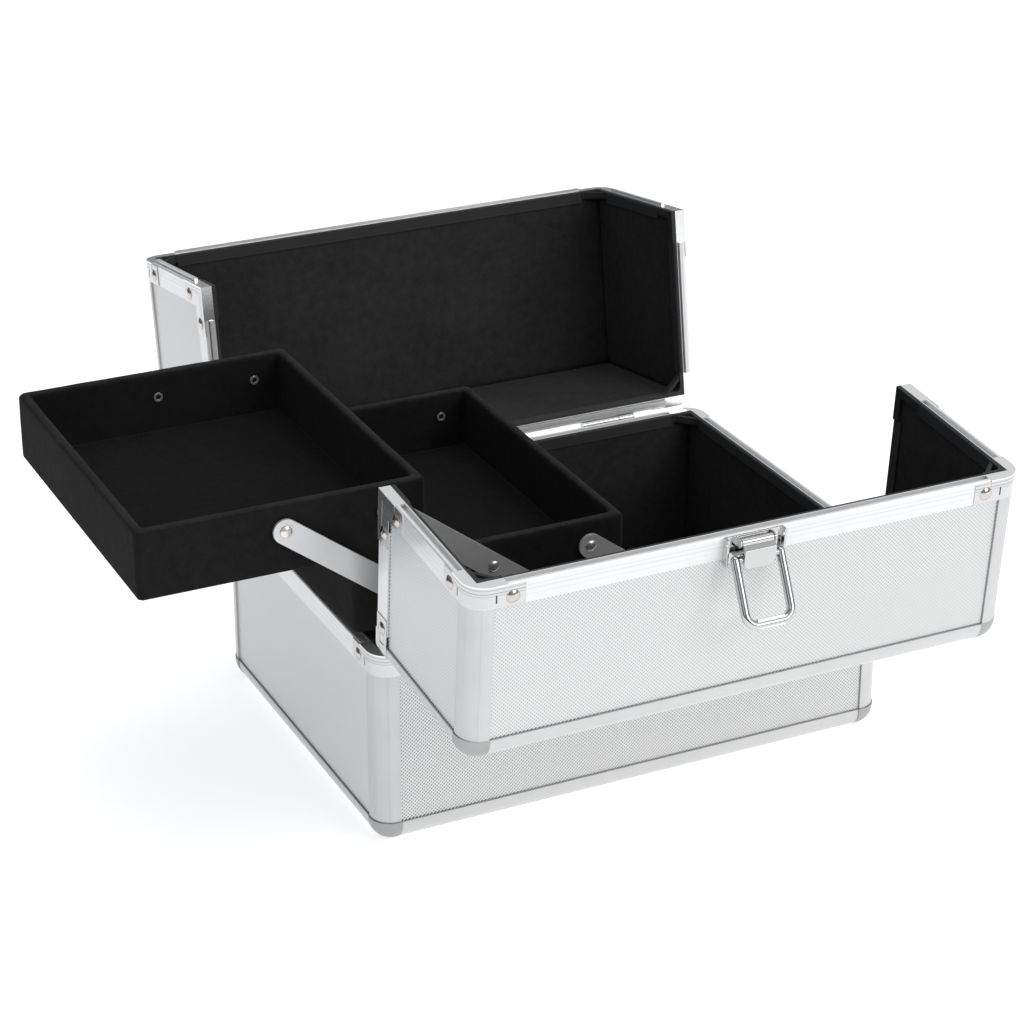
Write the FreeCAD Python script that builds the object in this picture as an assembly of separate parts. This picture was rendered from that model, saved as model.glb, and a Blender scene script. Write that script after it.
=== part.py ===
import FreeCAD, Part
import math
import os
from FreeCAD import Vector

# Make-up train case, in millimetres.
# The origin is the centre of the underside. +X runs to the right along the length, -Y is the
# latch side (front), +Z is up. The two lid halves and the two trays are modelled as they stand
# when the case is open: lids thrown back on their hinges, trays swung out to the left.

# ---- case body ----
WIDTH = 300.0           # outside length along X
DEPTH = 215.0           # outside depth along Y
BASE_HEIGHT = 110.0     # underside to the rim of the base
LID_HEIGHT = 104.0      # rim to the top of the closed case
FRONT_LID_DEPTH = 97.0  # part of the closed top that belongs to the front lid
REAR_LID_DEPTH = 117.0  # part of the closed top that belongs to the rear lid
FRONT_OPEN_DEG = 95.0   # front lid thrown open about its hinge
REAR_OPEN_DEG = 99.0    # rear lid thrown open about its hinge
HX = WIDTH / 2
HY = DEPTH / 2
TOP = BASE_HEIGHT + LID_HEIGHT
FRONT_SPLIT = -HY + FRONT_LID_DEPTH
REAR_SPLIT = HY - REAR_LID_DEPTH

# ---- wall build-up, measured inward from the outer face of the edge profiles ----
FLANGE = 1.0            # metal flange that laps over a panel
BOARD = 4.5             # panel board
FELT = 1.3              # lining
BOARD_IN = FLANGE + BOARD
WALL = BOARD_IN + FELT

# ---- edge profiles and corner caps ----
EDGE_R = 11.0           # outer radius of the rounded edges
EDGE_LEG = 12.5         # width of an edge profile on each face
EDGE_CORE = 6.5         # a panel starts this far from the outer corner
CAP_LEG = 13.0
CAP_PROUD = 0.6
CORNER_CLIP = EDGE_R + EDGE_CORE + FLANGE   # panel corners are bevelled inside this reach of a ball corner

# ---- rim rails: s is the distance inward from the outer face, h the distance below the rim plane ----
RAIL_OUTER = 12.0
RAIL_INNER = 7.0
RAIL_WEB = 2.5
RAIL_SEAT = 4.5         # panels and lining end this far below the rim plane
RAIL_IN = 7.6
GROOVE_FROM = 2.0
GROOVE_TO = 5.2
TONGUE_FROM = 2.6
TONGUE_TO = 4.6
TONGUE_OUT = 1.6
RIM_BREAK = 0.6         # small bevel on the rim's two edges

# ---- rim corner connectors ----
CREST_LEG = 19.0
CREST_PROUD = 0.5
CREST_IN = 8.1
SKIRT_LEG = 28.0
SKIRT_T = 0.4
SKIRT_FROM = 0.8
GUSSET_REACH = 17.5
GUSSET_T = 2.0
RIVET_ALONG = 21.5
RIVET_DOWN = 7.0
RIVET_R = 3.5
RIVET_DOME = 1.5
SHANK_R = 1.6
SHANK_LEN = 5.0
SLIT_ALONG = 12.7        # narrow slit in the skirt beside each rivet
SLIT_W = 0.8
SLIT_H = 4.4
SLIT_DEPTH = 1.8

# ---- lid hinges ----
HINGE_OUT = 1.5         # hinge axis stands this far outside the outer face, in the rim plane
HINGE_X = (-92.0, 92.0)
HINGE_LEN = 34.0
BASE_KNUCKLE = 23.5
KNUCKLE_GAP = 0.4
KNUCKLE_R = 2.2
HINGE_PIN_R = 1.0
HINGE_HOLE_R = 1.06
LEAF_T = 0.8
LEAF_FROM = 1.6
LEAF_TO = 11.5
KNUCKLE_CLEAR = 0.35

# ---- trays ----
TRAY_LEN = 150.0
TRAY_HALF = 95.2        # half the outside depth
TRAY_HEIGHT = 36.5
TRAY_WALL = 6.0
TRAY_FLOOR = 4.0
TRAY_ROUND = 2.4        # soft rounding of the padded edges
PIVOT_BELOW_TOP = 14.0
TRAY_PIVOTS = (20.0, 75.0, 130.0)   # from a tray's left end

# ---- swing arms ----
ARM_PITCH = 70.0        # pivot to pivot
ARM_REST_DEG = 143.0    # direction of the arms above +X with the trays out
ARM_WIDTH = 13.0
ARM_T = 1.5
ARM_FACE = 96.0         # inner face of the arms, from the middle plane
LONG_ARM_X = -24.0
ARM_Z = 100.0
PIVOT_R = 2.0
PIVOT_HOLE_R = 2.07
PIVOT_HEAD_R = 3.2
PIVOT_GAP = 0.3
HEAD_H = 1.1
SPACER_R = 2.9
TUBE_END_R = 2.6
TUBE_END_H = 0.7
TUBE_BORE_R = 1.4
TUBE_BORE_DEPTH = 2.5

# ---- latch, on the front lid's rim; b runs along the lid's top panel, n stands out from it ----
LATCH_X = -3.0
PLATE_HALF = 16.0
PLATE_FROM = 82.5
PLATE_T = 1.0
PLATE_RIM = 1.1          # turned-up sides of the plate
PLATE_RIM_H = 4.0
EAR_R = 2.3
LEVER_HALF = 8.5
LEVER_T = 1.2
LEVER_PIVOT = (94.2, 3.4)
LEVER_TOP = 91.8         # the cover's face runs from here down to its end
LEVER_END = 81.8
LEVER_OUT = 8.2
LEVER_TUBE_R = 2.1
EAR_T = 0.8
EAR_GAP = 0.4
LATCH_PIN_R = 1.0
LATCH_HOLE_R = 1.06
RING_PIVOT = (86.6, 5.7)
RING_TUBE_R = 2.5
RING_BAR_R = 1.5
RING_HOLE_R = 1.57
RING_WIRE_R = 2.25
RING_HALF = 12.35
RING_LEN = 32.0
RING_BEND = 6.0
RING_GRIP_T = 3.4
RING_GRIP_H = 4.6
RING_LEAN_DEG = 31.0
STRIKE_HALF = 11.0
STRIKE_LEN = 23.0
HOOK_AT = 16.2
HOOK_T = 1.4
HOOK_H = 10.0
HOOK_LIP = 3.5

# ---- carrying handle, on the rear lid ----
HANDLE_Y = 25.0
HANDLE_PIVOT_N = 6.0
HANDLE_HALF = 54.0
HANDLE_REACH = 33.0
HANDLE_LUG_R = 4.0
HANDLE_BAR = 4.0
HANDLE_PIN_R = 2.0
HANDLE_HOLE_R = 2.07
GRIP_HALF = 44.0
GRIP_W = 15.0
GRIP_H = 11.0
GRIP_ROUND = 5.0
MOUNT_W = 22.0
MOUNT_L = 17.0
MOUNT_T = 1.5

X = Vector(1, 0, 0)
Y = Vector(0, 1, 0)
Z = Vector(0, 0, 1)


# ------------------------------------------------------------------ helpers
def box(x0, x1, y0, y1, z0, z1):
    return Part.makeBox(x1 - x0, y1 - y0, z1 - z0, Vector(x0, y0, z0))


def rod(start, along, radius):
    return Part.makeCylinder(radius, along.Length, start, along)


def polygon_face(points):
    return Part.Face(Part.makePolygon(points + points[:1]))


def flip(shape, sx, sy, sz):
    """Mirror a shape made for the low corner into any of the eight corners."""
    for sign, normal in ((sx, X), (sy, Y), (sz, Z)):
        if sign < 0:
            shape = shape.mirror(Vector(), normal)
    return shape


def open_lid(shape, hinge_y, angle):
    """Turn a shape modelled on the closed lid to the lid's open position."""
    turned = shape.copy()
    turned.rotate(Vector(0, hinge_y, BASE_HEIGHT), X, angle)
    return turned


def group(shapes):
    return Part.makeCompound(shapes)


def dome(base, outward, radius, height):
    """A low domed rivet head standing on base."""
    ball_r = (radius ** 2 + height ** 2) / (2 * height)
    ball = Part.makeSphere(ball_r, base + outward * (height - ball_r))
    return ball.common(rod(base, outward * (height + 1), radius * 1.01))


def save(name, shape):
    os.makedirs("parts", exist_ok=True)
    shape.exportStep("parts/" + name + ".step")


# ------------------------------------------------------------------ wall pieces
def edge_profile(corner, u, v, run):
    """Rounded corner extrusion that holds two panels; u and v run inward along the two faces."""
    def at(a, b):
        return corner + u * a + v * b
    bulge = EDGE_R * (1 - math.sqrt(0.5))
    outline = [
        Part.Arc(at(0, EDGE_R), at(bulge, bulge), at(EDGE_R, 0)).toShape(),
        Part.makePolygon([
            at(EDGE_R, 0), at(EDGE_LEG, 0), at(EDGE_LEG, FLANGE), at(EDGE_CORE, FLANGE),
            at(EDGE_CORE, BOARD_IN), at(BOARD_IN, BOARD_IN), at(BOARD_IN, EDGE_CORE),
            at(FLANGE, EDGE_CORE), at(FLANGE, EDGE_LEG), at(0, EDGE_LEG), at(0, EDGE_R),
        ]),
    ]
    edges = [edge for part in outline for edge in part.Edges]
    return Part.Face(Part.Wire(edges)).extrude(run)


def rail(start, inward, down, run, tongue):
    """Rim extrusion: a bright outer band, two ridges and a groove, or a tongue, between them."""
    def at(s, h):
        return start + inward * s + down * h
    if tongue:
        middle = [at(GROOVE_FROM, RAIL_WEB), at(TONGUE_FROM, RAIL_WEB), at(TONGUE_FROM, -TONGUE_OUT),
                  at(TONGUE_TO, -TONGUE_OUT), at(TONGUE_TO, RAIL_WEB), at(GROOVE_TO, RAIL_WEB)]
    else:
        middle = [at(GROOVE_FROM, RAIL_WEB), at(GROOVE_TO, RAIL_WEB)]
    points = [at(0, RIM_BREAK), at(RIM_BREAK, 0), at(GROOVE_FROM, 0)] + middle + [
        at(GROOVE_TO, 0), at(RAIL_IN - RIM_BREAK, 0), at(RAIL_IN, RIM_BREAK), at(RAIL_IN, RAIL_INNER),
        at(WALL, RAIL_INNER), at(WALL, RAIL_SEAT), at(FLANGE, RAIL_SEAT),
        at(FLANGE, RAIL_OUTER), at(0, RAIL_OUTER),
    ]
    return polygon_face(points).extrude(run)


def corner_cap(corner, sx, sy, sz, boards):
    """Ball corner that closes three edge profiles, hollowed for the panels, flush with Z faces."""
    cube = box(-CAP_PROUD, CAP_LEG, -CAP_PROUD, CAP_LEG, 0, CAP_LEG)
    low = (-CAP_PROUD, -CAP_PROUD, 0)
    outer = [e for e in cube.Edges
             if sum(abs(e.CenterOfMass[i] - low[i]) < 0.01 for i in range(3)) == 2]
    cube = cube.makeFillet(EDGE_R + CAP_PROUD, outer)
    inside = box(BOARD_IN, CAP_LEG + 1, BOARD_IN, CAP_LEG + 1, BOARD_IN, CAP_LEG + 1)
    cap = flip(cube.cut(inside), sx, sy, sz)
    cap.translate(corner)
    return cap.cut(boards)


def corner_clip(corner, sx, sy, sz):
    """Wedge that bevels the panels' corners, so that they stay under the ball corner."""
    tips = [corner + X * (sx * CORNER_CLIP), corner + Y * (sy * CORNER_CLIP), corner + Z * (sz * CORNER_CLIP)]
    return polygon_face(tips).extrude(Vector(-sx, -sy, -sz) * CORNER_CLIP)


def clip_boards(boards, clips):
    return {name: board.cut(clips) for name, board in boards.items()}


def round_connector(corner, u, v, down):
    """Rim connector at a rounded corner: crest, riveted skirt and an inner diagonal stay."""
    def at(a, b, h):
        return corner + u * a + v * b + down * h

    def band(out, inner, leg, h0, h1):
        ro = EDGE_R + out
        ri = EDGE_R - inner
        c = EDGE_R
        k = math.sqrt(0.5)
        edges = [Part.makeLine(at(leg, -out, h0), at(c, -out, h0)),
                 Part.Arc(at(c, -out, h0), at(c - ro * k, c - ro * k, h0), at(-out, c, h0)).toShape(),
                 Part.makeLine(at(-out, c, h0), at(-out, leg, h0)),
                 Part.makeLine(at(-out, leg, h0), at(inner, leg, h0)),
                 Part.makeLine(at(inner, leg, h0), at(inner, c, h0)),
                 Part.Arc(at(inner, c, h0), at(c - ri * k, c - ri * k, h0), at(c, inner, h0)).toShape(),
                 Part.makeLine(at(c, inner, h0), at(leg, inner, h0)),
                 Part.makeLine(at(leg, inner, h0), at(leg, -out, h0))]
        return Part.Face(Part.Wire(edges)).extrude(down * (h1 - h0))

    crest = band(CREST_PROUD, CREST_IN, CREST_LEG, 0, RAIL_SEAT)
    skirt = band(SKIRT_T, 0, SKIRT_LEG, SKIRT_FROM, RAIL_OUTER)
    near = CREST_IN - 1
    wide = GUSSET_T * math.sqrt(2)
    stay = polygon_face([at(near, GUSSET_REACH + 1, RIM_BREAK), at(GUSSET_REACH + 1, near, RIM_BREAK),
                         at(GUSSET_REACH + 1 - wide, near, RIM_BREAK),
                         at(near, GUSSET_REACH + 1 - wide, RIM_BREAK)])
    stay = stay.extrude(down * (RAIL_SEAT - RIM_BREAK))
    return crest.fuse([skirt, stay]).removeSplitter()


def flat_connector(corner, p, q, inward):
    """Rim connector where two rails meet square in the plane of a side panel."""
    def slab(p0, p1, q0, q1, s0, s1):
        face = polygon_face([corner + p * a + q * b + inward * s0
                             for a, b in ((p0, q0), (p1, q0), (p1, q1), (p0, q1))])
        return face.extrude(inward * (s1 - s0))
    pieces = [
        slab(0, SKIRT_LEG, 0, RAIL_OUTER, -SKIRT_T, 0),
        slab(0, RAIL_OUTER, 0, SKIRT_LEG, -SKIRT_T, 0),
        slab(0, CREST_LEG, 0, RAIL_SEAT, -CREST_PROUD, CREST_IN),
        slab(0, RAIL_SEAT, 0, CREST_LEG, -CREST_PROUD, CREST_IN),
    ]
    return pieces[0].fuse(pieces[1:]).removeSplitter()


def rivet(corner, along, down, outward):
    """Domed rivet through a connector's skirt."""
    seat = corner + along * RIVET_ALONG + down * RIVET_DOWN + outward * SKIRT_T
    head = dome(seat, outward, RIVET_R, RIVET_DOME)
    return head.fuse(rod(seat, outward * -SHANK_LEN, SHANK_R)).removeSplitter()


def shank(corner, along, down, outward):
    seat = corner + along * RIVET_ALONG + down * RIVET_DOWN + outward * (SKIRT_T + 1)
    return rod(seat, outward * -(SHANK_LEN + 1), SHANK_R)


# ------------------------------------------------------------------ hinges
def hinge_bits(side, lid):
    """Leaves with knuckles for one long side; side is -1 at the front and +1 at the rear."""
    axis_y = side * (HY + HINGE_OUT)
    face_y = side * HY
    leaves = []
    for x in HINGE_X:
        left = x - HINGE_LEN / 2
        if lid:
            k0 = left + BASE_KNUCKLE + KNUCKLE_GAP
            k1 = left + HINGE_LEN
            z0, z1 = BASE_HEIGHT + LEAF_FROM, BASE_HEIGHT + LEAF_TO
            hole = HINGE_HOLE_R
        else:
            k0 = left
            k1 = left + BASE_KNUCKLE
            z0, z1 = BASE_HEIGHT - LEAF_TO, BASE_HEIGHT - LEAF_FROM
            hole = HINGE_PIN_R
        y0, y1 = sorted((face_y, face_y + side * LEAF_T))
        leaf = box(left, left + HINGE_LEN, y0, y1, z0, z1)
        web_z = (BASE_HEIGHT, z0 + 1) if lid else (z1 - 1, BASE_HEIGHT)
        web = box(k0, k1, y0, y1, web_z[0], web_z[1])
        start = Vector(k0, axis_y, BASE_HEIGHT)
        barrel = rod(start, X * (k1 - k0), KNUCKLE_R)
        leaf = leaf.fuse([web, barrel]).removeSplitter()
        leaf = leaf.cut(rod(start - X, X * (k1 - k0 + 2), hole))
        other0, other1 = (left - KNUCKLE_GAP, k0) if lid else (k1, left + HINGE_LEN + KNUCKLE_GAP)
        clear = rod(Vector(other0, axis_y, BASE_HEIGHT), X * (other1 - other0), KNUCKLE_R + KNUCKLE_CLEAR)
        leaves.append(leaf.cut(clear))
    return leaves


def hinge_reliefs(side):
    """Space that the knuckles need in the rails of one long side."""
    axis_y = side * (HY + HINGE_OUT)
    return [rod(Vector(x - HINGE_LEN / 2 - KNUCKLE_GAP, axis_y, BASE_HEIGHT),
                X * (HINGE_LEN + 2 * KNUCKLE_GAP), KNUCKLE_R + KNUCKLE_CLEAR) for x in HINGE_X]


def hinge_pins():
    return [rod(Vector(x - HINGE_LEN / 2, side * (HY + HINGE_OUT), BASE_HEIGHT),
                X * HINGE_LEN, HINGE_PIN_R) for side in (-1, 1) for x in HINGE_X]


# ------------------------------------------------------------------ base
def base_boards():
    top = BASE_HEIGHT - RAIL_SEAT
    ex, ey = HX - EDGE_CORE, HY - EDGE_CORE
    front = box(-ex, ex, -HY + FLANGE, -HY + BOARD_IN, EDGE_CORE, top)
    rear = box(-ex, ex, HY - BOARD_IN, HY - FLANGE, EDGE_CORE, top)
    left = box(-HX + FLANGE, -HX + BOARD_IN, -ey, ey, EDGE_CORE, top)
    right = box(HX - BOARD_IN, HX - FLANGE, -ey, ey, EDGE_CORE, top)
    field = box(-HX + EDGE_LEG, HX - EDGE_LEG, -HY + EDGE_LEG, HY - EDGE_LEG, 0, FLANGE)
    bottom = box(-ex, ex, -ey, ey, FLANGE, BOARD_IN).fuse(field)
    return {"base_front_panel": front, "base_rear_panel": rear,
            "base_side_panels": group([left, right]), "base_bottom_panel": bottom}


def base_lining():
    ox, oy = HX - BOARD_IN, HY - BOARD_IN
    top = BASE_HEIGHT - RAIL_SEAT
    outer = box(-ox, ox, -oy, oy, BOARD_IN, top)
    inner = box(-ox + FELT, ox - FELT, -oy + FELT, oy - FELT, WALL, top + 1)
    return outer.cut(inner)


def base_profiles():
    uprights, bottoms = [], []
    run = BASE_HEIGHT - RAIL_SEAT - CAP_LEG
    for sx in (-1, 1):
        for sy in (-1, 1):
            corner = Vector(sx * HX, sy * HY, CAP_LEG)
            uprights.append(edge_profile(corner, X * -sx, Y * -sy, Z * run))
    for sy in (-1, 1):
        corner = Vector(-HX + CAP_LEG, sy * HY, 0)
        bottoms.append(edge_profile(corner, Y * -sy, Z, X * (WIDTH - 2 * CAP_LEG)))
    for sx in (-1, 1):
        corner = Vector(sx * HX, -HY + CAP_LEG, 0)
        bottoms.append(edge_profile(corner, X * -sx, Z, Y * (DEPTH - 2 * CAP_LEG)))
    return uprights, bottoms


def base_rails():
    down = Z * -1
    long_rails = [rail(Vector(-HX + CREST_LEG, sy * HY, BASE_HEIGHT), Y * -sy, down,
                       X * (WIDTH - 2 * CREST_LEG), False) for sy in (-1, 1)]
    side_rails = [rail(Vector(sx * HX, -HY + CREST_LEG, BASE_HEIGHT), X * -sx, down,
                       Y * (DEPTH - 2 * CREST_LEG), False) for sx in (-1, 1)]
    return long_rails, side_rails


def slit(corner, along, down, outward):
    """Narrow upright slit in a connector's skirt, beside its rivet."""
    low = RIVET_DOWN - SLIT_H / 2
    outline = [(SLIT_ALONG, low), (SLIT_ALONG + SLIT_W, low),
               (SLIT_ALONG + SLIT_W, low + SLIT_H), (SLIT_ALONG, low + SLIT_H)]
    face = polygon_face([corner + outward * (SKIRT_T + 1) + along * a + down * h for a, h in outline])
    return face.extrude(outward * -(SLIT_DEPTH + 1))


def corner_rivets(corner, u, v, down):
    """The two rivets of a rounded connector, and the holes that they need."""
    pairs = ((u, v * -1), (v, u * -1))
    return ([rivet(corner, along, down, out) for along, out in pairs],
            [cut(corner, along, down, out) for along, out in pairs for cut in (shank, slit)])


def arm_pivot_pins(points):
    """Fixed pivots of the arms on the front and rear walls: spacer, pin and inner head."""
    pins, holes = [], []
    inner_wall = HY - WALL
    for side in (-1, 1):
        into = Y * -side
        for x, z in points:
            seat = Vector(x, side * inner_wall, z)
            gap_end = inner_wall - (ARM_FACE + ARM_T + PIVOT_GAP)
            spacer = rod(seat, into * gap_end, SPACER_R)
            pin = rod(seat - into * 3, into * (inner_wall - ARM_FACE + PIVOT_GAP + 3), PIVOT_R)
            head_at = Vector(x, side * (ARM_FACE - PIVOT_GAP), z)
            head = dome(head_at, into, PIVOT_HEAD_R, HEAD_H)
            pins.append(spacer.fuse([pin, head]).removeSplitter())
            holes.append(rod(seat - into * 3, into * 4, PIVOT_R))
    return pins, holes


def make_base(arm_points):
    corners = [(Vector(sx * HX, sy * HY, 0), sx, sy) for sx in (-1, 1) for sy in (-1, 1)]
    boards = clip_boards(base_boards(), [corner_clip(c, -sx, -sy, 1) for c, sx, sy in corners])
    caps = [corner_cap(c, -sx, -sy, 1, list(boards.values())) for c, sx, sy in corners]
    uprights, bottoms = base_profiles()
    long_rails, side_rails = base_rails()
    connectors, rivets, holes = [], [], []
    for c, sx, sy in corners:
        rim = c + Z * BASE_HEIGHT
        made, cuts = corner_rivets(rim, X * -sx, Y * -sy, Z * -1)
        rivets += made
        holes += cuts
        connectors.append(round_connector(rim, X * -sx, Y * -sy, Z * -1).cut(cuts))
    pins, pin_holes = arm_pivot_pins(arm_points)
    reliefs = hinge_reliefs(-1) + hinge_reliefs(1)
    for name, board in boards.items():
        save(name, board.cut(holes + pin_holes))
    save("base_lining", base_lining().cut(pin_holes))
    save("base_upright_profiles", group(uprights))
    save("base_bottom_profiles", group(bottoms))
    save("base_corner_caps", group(caps))
    save("base_long_rails", group([r.cut(reliefs + holes) for r in long_rails]))
    save("base_side_rails", group([r.cut(holes) for r in side_rails]))
    save("base_rail_connectors", group(connectors))
    save("base_connector_rivets", group(rivets))
    save("base_hinge_leaves", group(hinge_bits(-1, False) + hinge_bits(1, False)))
    save("hinge_pins", group(hinge_pins()))
    save("base_arm_pivots", group(pins))


# ------------------------------------------------------------------ lids
def lid_boards(side, split):
    """Panels of a lid on the closed case; side is -1 for the front lid and +1 for the rear lid."""
    low, high = BASE_HEIGHT + RAIL_SEAT, TOP - EDGE_CORE
    ex = HX - EDGE_CORE
    wall_y = sorted((side * (HY - FLANGE), side * (HY - BOARD_IN)))
    run_y = sorted((side * (HY - EDGE_CORE), split + side * RAIL_SEAT))
    wall = box(-ex, ex, wall_y[0], wall_y[1], low, high)
    top = box(-ex, ex, run_y[0], run_y[1], TOP - BOARD_IN, TOP - FLANGE)
    sides = [box(*sorted((sx * (HX - FLANGE), sx * (HX - BOARD_IN))), run_y[0], run_y[1], low, high)
             for sx in (-1, 1)]
    return {"wall_panel": wall, "top_panel": top, "side_panels": group(sides)}


def lid_lining(side, split):
    ox = HX - BOARD_IN
    far = side * (HY - BOARD_IN)
    near = split + side * RAIL_SEAT
    outer = box(-ox, ox, *sorted((far, near)), BASE_HEIGHT + RAIL_SEAT, TOP - BOARD_IN)
    inner = box(-ox + FELT, ox - FELT, *sorted((far - side * FELT, near - side)),
                BASE_HEIGHT, TOP - WALL)
    return outer.cut(inner)


def lid_profiles(side, split):
    """The long outer edge and the four short edges of a lid."""
    long_edge = edge_profile(Vector(-HX + CAP_LEG, side * HY, TOP), Y * -side, Z * -1,
                             X * (WIDTH - 2 * CAP_LEG))
    short = []
    for sx in (-1, 1):
        upright = Vector(sx * HX, side * HY, BASE_HEIGHT + RAIL_SEAT)
        short.append(edge_profile(upright, X * -sx, Y * -side, Z * (LID_HEIGHT - RAIL_SEAT - CAP_LEG)))
        top_edge = Vector(sx * HX, side * (HY - CAP_LEG), TOP)
        run = split + side * RAIL_SEAT - top_edge.y
        short.append(edge_profile(top_edge, X * -sx, Z * -1, Y * run))
    return long_edge, short


def lid_rails(side, split, tongue):
    """Hinge rail, split rail and the four side rails of a lid."""
    inward = Y * -side
    span = X * (WIDTH - 2 * CREST_LEG)
    hinge_rail = rail(Vector(-HX + CREST_LEG, side * HY, BASE_HEIGHT), inward, Z, span, True)
    top_rail = rail(Vector(-HX + CREST_LEG, split, TOP), Z * -1, Y * side, span, tongue)
    sides = []
    for sx in (-1, 1):
        start = Vector(sx * HX, side * (HY - CREST_LEG), BASE_HEIGHT)
        run = split + side * CREST_LEG - start.y
        sides.append(rail(start, X * -sx, Z, Y * run, True))
        start = Vector(sx * HX, split, BASE_HEIGHT + CREST_LEG)
        sides.append(rail(start, X * -sx, Y * side, Z * (LID_HEIGHT - 2 * CREST_LEG), tongue))
    return hinge_rail, top_rail, sides


def lid_connectors(side, split):
    connectors, rivets, holes = [], [], []
    for sx in (-1, 1):
        hinge_corner = Vector(sx * HX, side * HY, BASE_HEIGHT)
        top_corner = Vector(sx * HX, split, TOP)
        for corner, u, v, down in ((hinge_corner, X * -sx, Y * -side, Z),
                                   (top_corner, X * -sx, Z * -1, Y * side)):
            made, cuts = corner_rivets(corner, u, v, down)
            connectors.append(round_connector(corner, u, v, down).cut(cuts))
            rivets += made
            holes += cuts
        flat = Vector(sx * HX, split, BASE_HEIGHT)
        cuts = [shank(flat, Y * side, Z, X * sx), shank(flat, Z, Y * side, X * sx)]
        rivets += [rivet(flat, Y * side, Z, X * sx), rivet(flat, Z, Y * side, X * sx)]
        connectors.append(flat_connector(flat, Y * side, Z, X * -sx).cut(cuts))
        holes += cuts
    return connectors, rivets, holes


def make_lid(name, side, split, tongue, angle):
    """Build one lid half closed, then throw it open about its hinge."""
    hinge_y = side * (HY + HINGE_OUT)

    def keep(part, shape):
        save(name + "_" + part, open_lid(shape, hinge_y, angle))

    corners = [(Vector(sx * HX, side * HY, TOP), -sx, -side, -1) for sx in (-1, 1)]
    boards = clip_boards(lid_boards(side, split), [corner_clip(*corner) for corner in corners])
    caps = [corner_cap(*corner, list(boards.values())) for corner in corners]
    connectors, rivets, holes = lid_connectors(side, split)
    long_edge, short = lid_profiles(side, split)
    hinge_rail, top_rail, side_rails = lid_rails(side, split, tongue)
    for part, board in boards.items():
        keep(part, board.cut(holes))
    keep("lining", lid_lining(side, split))
    keep("long_profile", long_edge)
    keep("short_profiles", group(short))
    keep("corner_caps", group(caps))
    keep("hinge_rail", hinge_rail.cut(hinge_reliefs(side) + holes))
    keep("top_rail", top_rail.cut(holes))
    keep("side_rails", group([r.cut(holes) for r in side_rails]))
    keep("connectors", group(connectors))
    keep("connector_rivets", group(rivets))
    keep("hinge_leaves", group(hinge_bits(side, True)))


# ------------------------------------------------------------------ latch
def latch_point(x, b, n):
    """A point on the closed front lid: b along the top panel from the fold, n out from it."""
    return Vector(LATCH_X + x, -HY + b, TOP + n)


def latch_plate():
    edge = FRONT_LID_DEPTH
    low = latch_point(-PLATE_HALF, PLATE_FROM, 0)
    plate = Part.makeBox(2 * PLATE_HALF, edge - PLATE_FROM, PLATE_T, low)
    b, n = LEVER_PIVOT
    ears = []
    for sx in (-1, 1):
        x0 = sx * (LEVER_HALF + EAR_GAP)
        x1 = x0 + sx * EAR_T
        left = min(x0, x1)
        ear = Part.makeBox(EAR_T, 2 * EAR_R, n, latch_point(left, b - EAR_R, 0))
        ears.append(ear.fuse(rod(latch_point(left, b, n), X * EAR_T, EAR_R)))
        side = sx * (PLATE_HALF - PLATE_RIM / 2) - PLATE_RIM / 2
        ears.append(Part.makeBox(PLATE_RIM, edge - PLATE_FROM, PLATE_RIM_H, latch_point(side, PLATE_FROM, 0)))
    hole = rod(latch_point(-PLATE_HALF, b, n), X * 2 * PLATE_HALF, LATCH_PIN_R)
    return plate.fuse(ears).removeSplitter().cut(hole)


def latch_pin():
    reach = LEVER_HALF + EAR_GAP + EAR_T
    return rod(latch_point(-reach, *LEVER_PIVOT), X * 2 * reach, LATCH_PIN_R)


def latch_lever():
    b, n = LEVER_PIVOT
    rb, rn = RING_PIVOT
    outline = [(b - 0.3, n + LEVER_TUBE_R), (LEVER_TOP, LEVER_OUT), (LEVER_END, LEVER_OUT),
               (LEVER_END, LEVER_OUT - LEVER_T), (LEVER_TOP - 0.5, LEVER_OUT - LEVER_T),
               (b - 1.2, n + LEVER_TUBE_R - LEVER_T)]
    cover = polygon_face([latch_point(-LEVER_HALF, p, q) for p, q in outline])
    cover = cover.extrude(X * 2 * LEVER_HALF)
    tip = [e for e in cover.Edges
           if abs(e.CenterOfMass.y - (LEVER_END - HY)) < 0.01 and abs(e.tangentAt(e.FirstParameter).z) > 0.9]
    cover = cover.makeFillet(3.5, tip)
    start = latch_point(-LEVER_HALF, b, n)
    across = X * 2 * LEVER_HALF
    ring_start = latch_point(-LEVER_HALF, rb, rn)
    tubes = [rod(start, across, LEVER_TUBE_R), rod(ring_start, across, RING_TUBE_R)]
    solid = cover.fuse(tubes).removeSplitter()
    return solid.cut([rod(start - X, across + X * 2, LATCH_HOLE_R),
                      rod(ring_start - X, across + X * 2, RING_HOLE_R)])


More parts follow.
